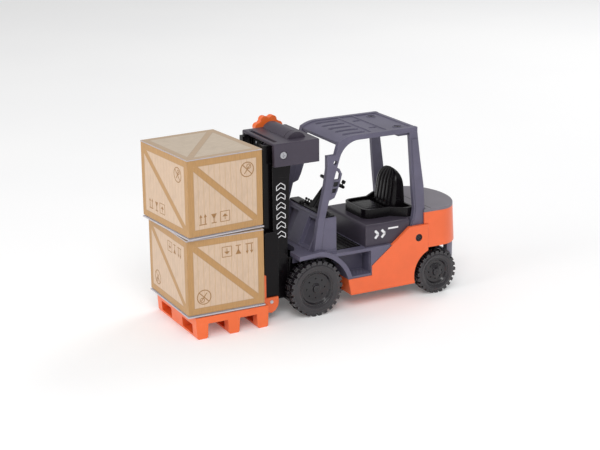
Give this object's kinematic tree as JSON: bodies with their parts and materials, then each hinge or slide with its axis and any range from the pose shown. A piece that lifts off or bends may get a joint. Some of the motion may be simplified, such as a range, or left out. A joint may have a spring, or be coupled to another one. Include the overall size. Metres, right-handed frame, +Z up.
{
  "type": "toy forklift",
  "caption": "Toy counterbalance forklift truck with a knob-wound mast and forks, carrying stacked cardboard crates on a slotted pallet.",
  "frame": {"origin": "on the ground under the middle of the truck and its load", "axes": "+X forward to the forks, +Y to the driver's left, +Z up"},
  "size_m": [0.2732, 0.0864, 0.1588],
  "materials": {
    "orange_plastic": "satin moulded plastic",
    "pallet_plastic": "satin moulded plastic",
    "grey_plastic": "fine textured moulded plastic",
    "dark_grey_plastic": "fine textured moulded plastic",
    "black_plastic": "satin moulded plastic",
    "seat_plastic": "soft satin",
    "tyre_plastic": "semi-matte",
    "rim_plastic": "satin",
    "steel": "bright",
    "screw_steel": "bright",
    "cord": "braided",
    "printed_card": "printed, faint sheen",
    "white_card": "matte"
  },
  "bodies": {
    "truck": {"chassis": "black_plastic", "front_body": "grey_plastic", "chassis_screws": "screw_steel", "side_panel_left": "orange_plastic", "side_panel_right": "orange_plastic", "panel_screws": "screw_steel", "counterweight": "orange_plastic", "top_cover": "dark_grey_plastic", "rear_bumper": "dark_grey_plastic", "engine_cover": "dark_grey_plastic", "overhead_guard": "grey_plastic", "roof_screws": "screw_steel", "rear_pillar_left": "grey_plastic", "rear_pillar_right": "grey_plastic", "cowl": "grey_plastic", "dashboard": "black_plastic", "control_levers": "black_plastic", "steering_column": "black_plastic", "seat_tray": "black_plastic", "seat_cushion": "seat_plastic", "seat_back": "black_plastic", "mast_side_left": "black_plastic", "mast_side_right": "black_plastic", "mast_rail_left": "black_plastic", "mast_rail_right": "black_plastic", "mast_cross_members": "black_plastic", "mast_head": "dark_grey_plastic", "head_screws": "screw_steel", "drum_cover": "dark_grey_plastic", "pulley_pin": "steel", "lift_cord_run": "cord", "lift_cord_drop": "cord"},
    "front_wheels": {"axle_front": "steel", "rim_front_left": "rim_plastic", "rim_front_right": "rim_plastic", "tyre_front_left": "tyre_plastic", "tyre_front_right": "tyre_plastic"},
    "rear_wheels": {"axle_rear": "steel", "rim_rear_left": "rim_plastic", "rim_rear_right": "rim_plastic", "tyre_rear_left": "tyre_plastic", "tyre_rear_right": "tyre_plastic"},
    "steering": {"steering_wheel": "black_plastic", "spinner_knob": "black_plastic"},
    "winch": {"lift_drum": "black_plastic", "drum_shaft": "steel", "winding_knob": "orange_plastic", "cord_winding": "cord"},
    "pulley": {"guide_pulley": "black_plastic"},
    "carriage": {"carriage": "black_plastic", "fork_left": "orange_plastic", "fork_right": "orange_plastic", "fork_pins": "steel"},
    "pallet": {"pallet": "pallet_plastic"},
    "lower_crate": {"lower_crate_base": "white_card", "lower_crate_sleeve": "printed_card", "lower_crate_lid": "printed_card"},
    "upper_crate": {"upper_crate_base": "white_card", "upper_crate_sleeve": "printed_card", "upper_crate_lid": "printed_card"}
  },
  "joints": [
    {"name": "front_axle_spin", "type": "hinge", "parent": "truck", "child": "front_wheels", "pos_m": [0.01447, 0, 0.024], "axis": [0, 1, 0], "continuous": true},
    {"name": "rear_axle_spin", "type": "hinge", "parent": "truck", "child": "rear_wheels", "pos_m": [-0.10403, 0, 0.0192], "axis": [0, 1, 0], "continuous": true},
    {"name": "steering_turn", "type": "hinge", "parent": "truck", "child": "steering", "pos_m": [-0.02213, 0, 0.1026], "axis": [-0.5299, 0, 0.848], "continuous": true},
    {"name": "carriage_lift", "type": "slide", "parent": "truck", "child": "carriage", "axis": [0, 0, 1], "range_m": [0, 0.054], "deforming": ["lift_cord_drop"]},
    {"name": "winch_turn", "type": "hinge", "parent": "truck", "child": "winch", "pos_m": [0.02197, 0, 0.146], "axis": [0, 1, 0], "range_deg": [0, 475]},
    {"name": "pulley_turn", "type": "hinge", "parent": "truck", "child": "pulley", "pos_m": [0.04247, 0, 0.1416], "axis": [0, 1, 0], "range_deg": [-780, 0]},
    {"name": "pallet_slide", "type": "slide", "parent": "carriage", "child": "pallet", "axis": [1, 0, 0], "range_m": [0, 0.075]},
    {"name": "lower_crate_lift", "type": "slide", "parent": "pallet", "child": "lower_crate", "axis": [0, 0, 1], "range_m": [0, 0.08]},
    {"name": "upper_crate_lift", "type": "slide", "parent": "lower_crate", "child": "upper_crate", "axis": [0, 0, 1], "range_m": [0, 0.08]}
  ],
  "couplings": [
    {"joint": "winch_turn", "follows": "carriage_lift", "rad_per_m": 151.52},
    {"joint": "pulley_turn", "follows": "carriage_lift", "rad_per_m": -250}
  ]
}
